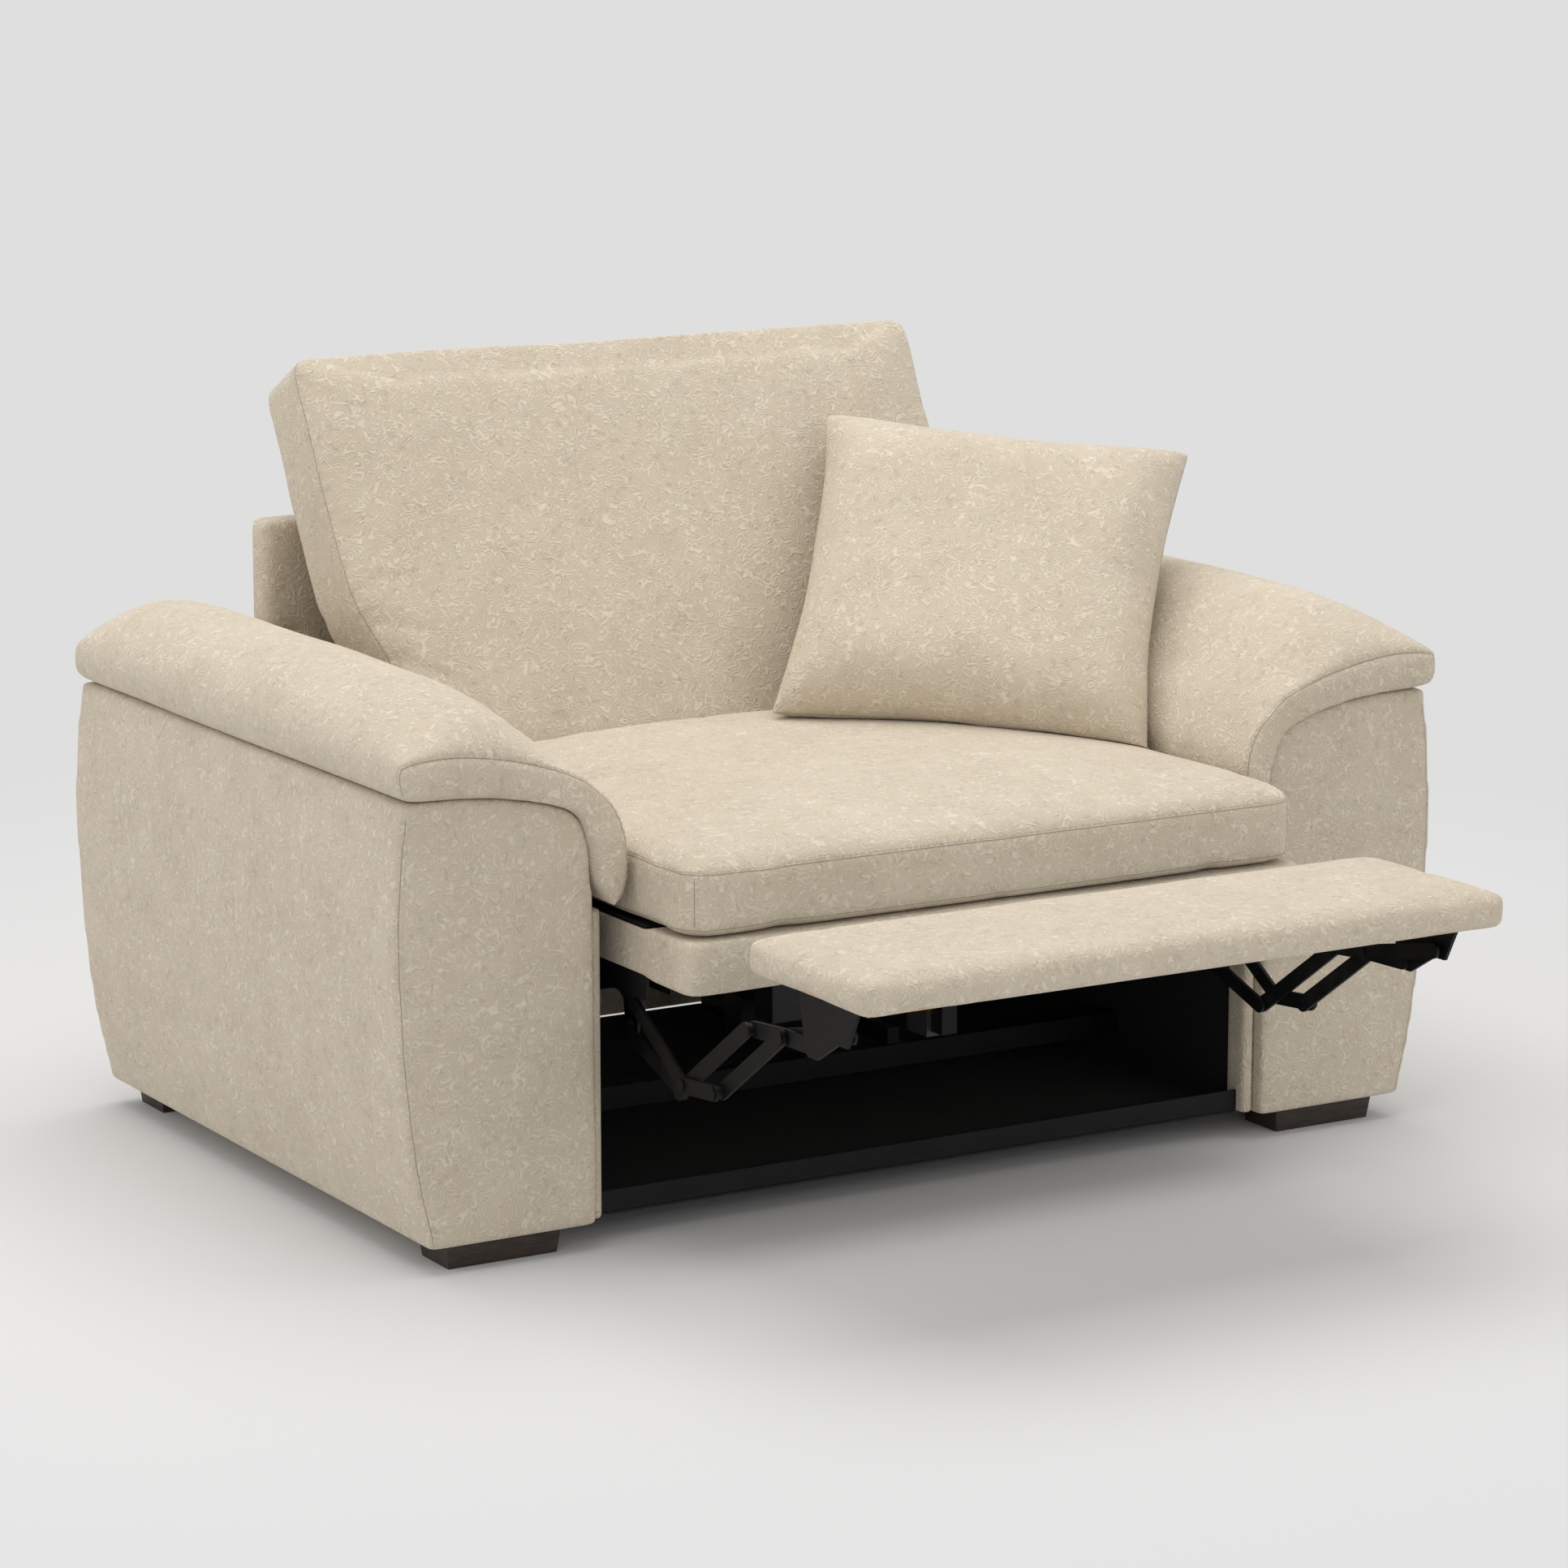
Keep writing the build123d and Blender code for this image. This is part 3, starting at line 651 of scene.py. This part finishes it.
def arm_pillow(side, name, node):
    """Pillow top: a crowned loft that wraps down the inner side and overhangs the front."""
    full = curve_through(PAD_CROWN, 64)
    first = curve_through(PAD_FRONT_EDGE, 64)
    under = curve_through([(a - 0.0005, b + 0.0012) for a, b in ARM_TOP], 26)
    depths = [-0.010, -0.006, 0.0, 0.010, 0.025, 0.045, 0.07, 0.10, 0.14, 0.2, 0.3, 0.42, 0.54, 0.64, 0.71, 0.76,
              0.80, 0.828, 0.846, 0.856, 0.861]
    rise = [0.0, 0.12, 0.24, 0.38, 0.52, 0.66, 0.78, 0.87, 0.95, 1.0, 1.02, 1.02, 1.02, 1.0, 0.98, 0.95, 0.88, 0.78,
            0.62, 0.42, 0.22]
    rings = []
    for depth, share in zip(depths, rise):
        upper = first + (full - first) * share
        rings.append([at(side * a, depth, b) for a, b in upper] + [at(side * a, depth, b) for a, b in under[1:]])
    count = len(rings[0])
    verts = [p for ring in rings for p in ring]
    faces = []
    for r in range(len(rings) - 1):
        for k in range(count):
            a, b = r * count + k, r * count + (k + 1) % count
            faces.append((a, b, b + count, a + count))
    faces.append(tuple(range(count))[::-1])
    faces.append(tuple((len(rings) - 1) * count + k for k in range(count)))
    piece = new_object(name, verts, faces)
    tidy = bmesh.new()
    tidy.from_mesh(piece.data)
    bmesh.ops.recalc_face_normals(tidy, faces=tidy.faces)
    tidy.to_mesh(piece.data)
    tidy.free()
    remesh(piece, 0.0055)
    relax(piece, 3)
    inflate(piece, 2.5, ((0.003, 0.003), (0.003, 0.003), (0.001, 0.007)), 12)
    relax(piece, 1)
    subdivide(piece)
    line = [at(side * a, -0.0085, b - 0.001) for a, b in curve_through(PAD_FRONT_EDGE, 60)]
    carve(piece, [line], 0.0018, 0.0038)
    ripple(piece, 0.0022, 6.5, 11 + side, lambda p: step(p[:, 2], 0.50, 0.56))
    dress(piece, "base", FABRIC, node, fill=0.85)
    sew(piece, "base", line, (0, 0.0050, 0.0012))
    return piece


def small_blocks():
    """Fabric strips on the inner fronts of the arms."""
    verts, faces = [], []
    for side in (-1, 1):
        low, high = 0.4303, 0.4442
        outline = [(low, 0.019), (low + 0.004, 0.0152), (high, 0.0152), (high, 0.052), (low, 0.052)]
        heights = [0.031, 0.036, 0.2, 0.372, 0.380]
        base = len(verts)
        for z in heights:
            verts += [at(side * a, b, z) for a, b in outline]
        for r in range(len(heights) - 1):
            for k in range(5):
                a, b = base + r * 5 + k, base + r * 5 + (k + 1) % 5
                faces.append((a, b, b + 5, a + 5))
        faces += [tuple(base + k for k in range(5)), tuple(base + 20 + k for k in range(5))]
    piece = new_object("arm_strip_fabric", verts, faces)
    tidy = bmesh.new()
    tidy.from_mesh(piece.data)
    bmesh.ops.recalc_face_normals(tidy, faces=tidy.faces)
    bmesh.ops.bevel(tidy, geom=list(tidy.edges), offset=0.0022, segments=3, affect="EDGES")
    tidy.to_mesh(piece.data)
    tidy.free()
    remesh(piece, 0.003)
    relax(piece, 2)
    dress(piece, "base", FABRIC, "arm_front_strips", fill=0.9)


def closing_panel():
    """The fixed outside back, round along its top, with a seam along the top of its rear face."""
    low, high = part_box("outside_back")
    wide, waist, base = 0.455, 0.4075, 0.4402
    half = [(base, low.z - 0.012), (base, 0.374), (waist, 0.374), (waist, 0.566), (wide, 0.566), (wide, 0.7045)]
    outline = half + [(-a, b) for a, b in half[::-1]]
    piece = prism("outside_back_fabric", outline, (low.y + 0.0015, high.y), lambda a, b, c: (a, c, b))
    remesh(piece, 0.006)
    relax(piece, 8)
    subdivide(piece)
    rear = high.y
    upper = [(x, rear, z) for x, z in rounded(0.443, 0.590, 0.692, 0.012)[:18]]
    carve(piece, [upper], 0.0015, 0.0040)
    ripple(piece, 0.0015, 6.0, 21)
    points = coords(piece)
    points[:, 1] = np.minimum(points[:, 1], rear + 0.0001)
    points[:, 2] = np.maximum(points[:, 2], low.z + 0.0002)
    set_coords(piece, points)
    dress(piece, "base", FABRIC, "outside_back", fill=0.9)
    sew(piece, "base", upper, (0, 0, -0.0045))
    return piece


# -------------------------------------------------------------------- seat


def seat_top(x, depth):
    """Height of the seat's crowned top."""
    edge = np.minimum(0.405 - np.abs(x), depth + 0.130)
    edge = np.maximum(edge, 0)
    crown = 0.4415 + 0.0205 * (1 - np.exp(-((edge / 0.085) ** 1.1)))
    middle = 0.006 * np.cos(np.clip(x / 0.40, -1, 1) * math.pi / 2)
    return crown + middle * step(edge, 0, 0.2)


def seat_cushion():
    """Boxed seat cushion with a seam along its top and bottom edges."""
    low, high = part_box("seat_cushion")
    plan = rounded(0.4035, low.y + 0.002, high.y - 0.001, 0.034, 10)
    base, lid = low.z + 0.001, 0.4400
    piece = prism("seat_cushion_fabric", plan, (base, lid), lambda a, b, c: (a, b, c))
    remesh(piece, 0.0065)
    points = coords(piece)
    top = seat_top(points[:, 0], points[:, 1] - FRONT)
    share = np.clip((points[:, 2] - base) / (lid - base), 0, 1)
    points[:, 2] += (top - lid) * share
    set_coords(piece, points)
    relax(piece, 4)
    inflate(piece, 4.0, ((0.003, 0.003), (0.006, 0.003), (0.0008, 0.010)), 20)
    relax(piece, 1)
    subdivide(piece)
    ring = np.array([(a, b) for a, b in rounded(0.4035, low.y + 0.001, high.y, 0.034, 10)])
    front_part = [(a, b) for a, b in np.roll(ring, -20, axis=0) if b < FRONT + 0.50]
    front_part = sorted(front_part, key=lambda p: math.atan2(p[0], -(p[1] - FRONT - 0.2)))
    upper = [(a, b, 0.4385) for a, b in front_part]
    lower = [(a, b, 0.3705) for a, b in front_part]
    corners = [[(x, low.y + 0.010, z) for z in (0.373, 0.40, 0.437)] for x in (-0.3945, 0.3945)]
    carve(piece, [upper, lower], 0.0022, 0.0042)
    carve(piece, corners, 0.0014, 0.0036)
    ripple(piece, 0.0022, 6.0, 31, lambda p: step(p[:, 2], 0.38, 0.43))
    dress(piece, "seat", FABRIC, "seat_cushion", fill=0.75)
    sew(piece, "seat", upper, (0, 0, 0.0045))
    sew(piece, "seat", lower, (0, 0, -0.0042))
    for line in corners:
        sew(piece, "seat", line, (-math.copysign(0.0032, line[0][0]), -0.0032, 0))
    return piece


def seat_front():
    """Fabric over the seat's front rail, returned along both sides of the carriage."""
    low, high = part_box("seat_front_cover")
    block_rear, skin = FRONT - 0.0305, 0.0005
    outer, inner = high.x + 0.0002, 0.4003
    corner = rounded(outer, low.y + 0.001, high.y, 0.016, 6)
    front = [p for p in corner if p[1] < FRONT - 0.08]
    left = [p for p in front if p[0] < 0]
    right = [p for p in front if p[0] > 0]
    plan = [(-outer, high.y)] + left + right + [(outer, high.y), (inner, high.y), (inner, block_rear + skin)]
    plan += [(-inner, block_rear + skin), (-inner, high.y)]
    piece = prism("seat_front_fabric", plan, (low.z + 0.0005, high.z - 0.001), lambda a, b, c: (a, b, c))
    remesh(piece, 0.0030)
    points = coords(piece)
    side_part = step(points[:, 1], block_rear - 0.02, block_rear + 0.01)
    middle = (low.z + high.z) / 2
    lift = 0.0025 * side_part * (1 - step(points[:, 2], low.z + 0.010, middle))
    points[:, 2] += lift
    belly = np.cos(np.clip((points[:, 2] - middle) / 0.030, -1, 1) * math.pi / 2)
    facing = points[:, 1] < low.y + 0.010
    points[:, 1] -= np.where(facing, 0.0035 * belly, 0)
    set_coords(piece, points)
    relax(piece, 5)
    ripple(piece, 0.0010, 9.0, 41, lambda p: 1 - step(p[:, 1], block_rear - 0.03, block_rear))
    dress(piece, "seat", FABRIC, "seat_front_cover", fill=0.9)
    return piece


# -------------------------------------------------------------------- back

FOOT_DEPTH, FOOT_Z = 0.540, 0.460


def leaned(x, u, w):
    """A point of the tilted back: across, up its front face, and in towards its rear."""
    return at(
        x,
        FOOT_DEPTH + u * math.sin(LEAN) + w * math.cos(LEAN),
        FOOT_Z + u * math.cos(LEAN) - w * math.sin(LEAN),
    )


def unleaned(points):
    """Back's own (x, u, w) for points in the row frame."""
    y = points[:, 1] - FRONT - FOOT_DEPTH
    z = points[:, 2] - FOOT_Z
    return np.stack(
        (points[:, 0], y * math.sin(LEAN) + z * math.cos(LEAN), y * math.cos(LEAN) - z * math.sin(LEAN)), axis=1
    )


BACK_SIDE = [(0.387, -0.083), (0.387, 0.020), (0.3885, 0.076), (0.405, 0.130), (0.4250, 0.187), (0.4315, 0.240),
             (0.4345, 0.330), (0.4345, 0.425)]


def back_half():
    """Right-hand half of the back's outline, from the bottom up to the top centre."""
    side = [tuple(p) for p in curve_through(BACK_SIDE, 36)]
    top = [(0.4350, 0.470), (0.4340, 0.489), (0.4275, 0.5015), (0.413, 0.5060), (0.36, 0.5065)]
    return side + [tuple(p) for p in curve_through(top, 14)]


def back_cushion():
    """One tall back cushion, boxed, with a soft seam round its front face."""
    half = back_half()
    outline = half + [(-a, b) for a, b in half[::-1]]
    piece = prism("back_cushion_fabric", outline, (0.004, 0.1055), leaned)
    remesh(piece, 0.0068)
    mine = unleaned(coords(piece))
    x, u, w = mine.T
    side = np.interp(u, [p[1] for p in half[:36]], [p[0] for p in half[:36]])
    edge = np.minimum(np.minimum(side - np.abs(x), 0.5065 - u), u + 0.085)
    crown = 0.020 * (1 - np.exp(-((np.maximum(edge, 0) / 0.075) ** 1.2)))
    crown *= 0.75 + 0.35 * np.exp(-(((u - 0.14) / 0.16) ** 2))
    share = np.clip((0.1055 - w) / 0.1015, 0, 1)
    mine[:, 2] -= crown * share
    set_coords(piece, [leaned(*p) for p in mine])
    relax(piece, 4)
    inflate(piece, 4.0, ((0.003, 0.003), (0.009, 0.002), (0.002, 0.003)), 20)
    relax(piece, 1)
    subdivide(piece)
    ring = [(a, b) for a, b in half if b > -0.05]
    ring = ring + [(-a, b) for a, b in ring[::-1]]
    front = [leaned(a * 0.9985, b - 0.0008, 0.0045) for a, b in ring]
    rear = [leaned(a * 0.9985, b - 0.0008, 0.1035) for a, b in ring]
    carve(piece, [front, rear], 0.0020, 0.0044)
    wrinkle(piece)
    ripple(piece, 0.0030, 4.5, 51)
    dress(piece, "back", FABRIC, "back_cushion", fill=0.7)
    sew(piece, "back", front, tuple(Vector(leaned(0, 0, 0.0045)) - Vector(leaned(0, 0, 0))))
    sew(piece, "back", rear)
    return piece


def wrinkle(piece):
    """Short pulls that fan in from the lower corners of the back's front face."""
    points = coords(piece)
    mine = unleaned(points)
    x, u, w = mine.T
    push = np.zeros(len(points))
    pulls = [
        (0.13, -32, 0.12, 0.0022), (0.165, -20, 0.10, 0.0018),
        (0.10, -46, 0.10, 0.0016), (0.22, -12, 0.08, 0.0012),
    ]
    for side in (-1, 1):
        for start, turn, reach, height in pulls:
            along = 0.41 - np.abs(x)
            run = along * math.cos(math.radians(turn)) + (u - start) * math.sin(math.radians(turn))
            across = -along * math.sin(math.radians(turn)) + (u - start) * math.cos(math.radians(turn))
            fade = step(run, -0.01, 0.02) * (1 - step(run, reach * 0.5, reach))
            mine_side = (x * side) > 0
            push += np.where(mine_side, height * np.exp(-((across / 0.008) ** 2)) * fade, 0)
    push *= 1 - step(w, 0.0, 0.03)
    set_coords(piece, points - normals(piece) * push[:, None])


def back_rear():
    """Fabric panel that closes the back cushion's rear."""
    half = back_half()
    outline = [(a - 0.026, b) for a, b in half if -0.05 < b < 0.478]
    outline = outline + [(-a, b) for a, b in outline[::-1]]
    piece = prism("back_rear_fabric", outline, (0.1068, 0.1125), leaned)
    remesh(piece, 0.004)
    relax(piece, 3)
    dress(piece, "back", FABRIC, "back_rear_panel", fill=0.9)


# ---------------------------------------------------- footrest and scatter


def footrest():
    """Thin upholstered board with soft rounded edges."""
    low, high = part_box("footrest_pad")
    plan = rounded(0.4115, low.y + 0.0015, high.y - 0.0015, 0.018, 8)
    base, lid = low.z - 0.0012, high.z - 0.0035
    piece = prism("footrest_fabric", plan, (base, lid), lambda a, b, c: (a, b, c))
    remesh(piece, 0.0048)
    points = coords(piece)
    edge = np.minimum(0.4115 - np.abs(points[:, 0]), np.minimum(points[:, 1] - low.y, high.y - points[:, 1]))
    crown = 0.0045 * (1 - np.exp(-np.maximum(edge, 0) / 0.045))
    points[:, 2] += crown * np.clip((points[:, 2] - base) / (lid - base), 0, 1)
    set_coords(piece, points)
    relax(piece, 6)
    inflate(piece, 3.0, ((0.0025, 0.0025), (0.0025, 0.0025), (0.0004, 0.005)), 14)
    relax(piece, 1)
    subdivide(piece)
    ripple(piece, 0.0014, 8.0, 61, lambda p: step(p[:, 2], low.z + 0.006, low.z + 0.02))
    points = coords(piece)
    points[:, 2] = np.maximum(points[:, 2], low.z - 0.0006)
    set_coords(piece, points)
    dress(piece, "footrest", FABRIC, "footrest_pad", fill=0.9)
    return piece


BACK_PIVOT = (0, 0.600, 0.420)
UPRIGHT_TURN = 0.096


def clear_of_upright_back(piece, back):
    """Keeps the loose cushion clear of the back where the back is most upright."""
    pivot = Vector(at(*BACK_PIVOT))
    turn = Matrix.Translation(pivot) @ Matrix.Rotation(UPRIGHT_TURN, 4, "X") @ Matrix.Translation(-pivot)
    away = turn.inverted()
    set_coords(piece, [away @ Vector(p) for p in coords(piece)])
    keep_clear(piece, [back], 0.0015)
    set_coords(piece, [turn @ Vector(p) for p in coords(piece)])


def scatter_cushion(neighbours):
    """Knife-edge cushion: two squares sewn together and filled."""
    low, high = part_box("scatter_cushion")
    middle = (low + high) / 2 + Vector((0, 0, -0.021))
    turn = (
        Matrix.Rotation(math.radians(-37.7), 4, "Z")
        @ Matrix.Rotation(math.radians(5.2), 4, "Y")
        @ Matrix.Rotation(math.radians(-45), 4, "X")
    )
    place = Matrix.Translation(middle) @ turn
    half, count = 0.240, 60
    steps = np.linspace(-1, 1, count + 1)
    verts, index = [], {}
    for layer in (-1, 1):
        for i, s in enumerate(steps):
            for j, t in enumerate(steps):
                rim = i in (0, count) or j in (0, count)
                key = (i, j) if rim else (i, j, layer)
                if key in index:
                    continue
                index[key] = len(verts)
                fat = 0.055 * ((1 - s ** 4) * (1 - t ** 4)) ** 0.5
                pull = 1 - 0.068 * (1 - s * s if abs(t) > abs(s) else 1 - t * t) * max(abs(s), abs(t)) ** 3
                verts.append((s * half * pull, layer * fat, t * half * pull))
    faces = []
    for layer in (-1, 1):
        for i in range(count):
            for j in range(count):
                ring = []
                for a, b in ((i, j), (i + 1, j), (i + 1, j + 1), (i, j + 1)):
                    ring.append(index.get((a, b), index.get((a, b, layer))))
                faces.append(tuple(ring) if layer < 0 else tuple(ring[::-1]))
    piece = new_object("scatter_fabric", verts, faces)
    inflate(piece, 3.5, ((0.012, 0.012), (0.016, 0.016), (0.012, 0.012)), 20, 8.0)
    relax(piece, 1)
    subdivide(piece)
    ripple(piece, 0.0030, 9.0, 71)
    set_coords(piece, [place @ Vector(p) for p in coords(piece)])
    keep_clear(piece, neighbours, 0.0012)
    clear_of_upright_back(piece, neighbours[1])
    walk = [(i, 0) for i in range(count)] + [(count, j) for j in range(count)]
    walk += [(i, count) for i in range(count, 0, -1)] + [(0, j) for j in range(count, -1, -1)]
    placed = coords(piece)
    rim = [placed[index[spot]] for spot in walk]
    dress(piece, "scatter", FABRIC, "scatter_cushion", fill=0.6)
    sew(piece, "scatter", rim)
    return piece


# ------------------------------------------------------------------- stage


def stage():
    """Pale seamless floor and soft studio light."""
    floor_mesh = bpy.data.meshes.new("floor")
    rise = [(-14.0, 0.0), (6.0, 0.0), (8.0, 0.25), (9.2, 1.0), (9.8, 2.2), (10.0, 4.0), (10.0, 9.0)]
    verts = [(x, y, z) for y, z in rise for x in (-16.0, 16.0)]
    faces = [(2 * i, 2 * i + 1, 2 * i + 3, 2 * i + 2) for i in range(len(rise) - 1)]
    floor_mesh.from_pydata(verts, [], faces)
    floor = bpy.data.objects.new("floor", floor_mesh)
    floor.rotation_euler = (0, 0, math.radians(-30.71))
    scene.collection.objects.link(floor)
    g = Graph("studio_floor")
    away = g.tree.nodes.new("ShaderNodeVectorMath")
    away.operation = "LENGTH"
    g.link(g.place, away.inputs[0])
    far = g.span(away.outputs["Value"], 1.1, 3.2)
    cast = g.noise(0.6, 1.0)
    near = g.ramp(cast, (0.3, (0.675, 0.675, 0.678)), (0.7, (0.685, 0.685, 0.688)))
    fade = g.tree.nodes.new("ShaderNodeMixShader")
    glow = g.tree.nodes.new("ShaderNodeEmission")
    glow.inputs["Color"].default_value = (0.737, 0.737, 0.735, 1)
    g.colour(near)
    g.set(roughness=0.95)
    g.shader.inputs["Specular IOR Level"].default_value = 0.1
    g.link(far, fade.inputs["Fac"])
    g.link(g.shader.outputs[0], fade.inputs[1])
    g.link(glow.outputs[0], fade.inputs[2])
    g.link(fade.outputs[0], g.tree.nodes["Material Output"].inputs["Surface"])
    floor_mesh.materials.append(g.material)
    for poly in floor_mesh.polygons:
        poly.use_smooth = True

    world = bpy.data.worlds.new("studio")
    world.use_nodes = True
    world.node_tree.nodes["Background"].inputs["Color"].default_value = (1.0, 1.0, 1.0, 1)
    world.node_tree.nodes["Background"].inputs["Strength"].default_value = 0.70
    scene.world = world

    def softbox(name, place, aim, size, power, tint=(1, 1, 1)):
        data = bpy.data.lights.new(name, "AREA")
        data.shape = "RECTANGLE"
        data.size, data.size_y = size
        data.energy = power
        data.color = tint
        lamp = bpy.data.objects.new(name, data)
        lamp.location = place
        lamp.rotation_euler = (Vector(aim) - Vector(place)).to_track_quat("-Z", "Y").to_euler()
        scene.collection.objects.link(lamp)

    softbox("overhead", (0.0, 0.6, 4.2), (0, 0.0, 0.3), (4.0, 4.0), 112, (1.0, 0.985, 0.97))
    softbox("left_fill", (-4.6, 0.4, 1.9), (0, 0, 0.4), (2.6, 2.4), 30, (1.0, 0.985, 0.97))
    softbox("front_fill", (1.6, -5.0, 1.9), (0, 0, 0.4), (3.2, 2.6), 30, (1.0, 0.985, 0.97))
    scene.view_settings.view_transform = "Standard"
    scene.view_settings.look = "None"
    scene.view_settings.exposure = 0.0


# -------------------------------------------------------------------- build

make_camera()
dress_frame()
arm_body(-1, "left_arm_fabric", "left_arm_cover")
arm_body(1, "right_arm_fabric", "right_arm_cover")
arm_pillow(-1, "left_arm_pillow", "left_arm_pad")
right_pad = arm_pillow(1, "right_arm_pillow", "right_arm_pad")
small_blocks()
closing_panel()
seat = seat_cushion()
seat_front()
back = back_cushion()
back_rear()
footrest()
scatter_cushion([seat, back, right_pad])
finish_seams()
stage()
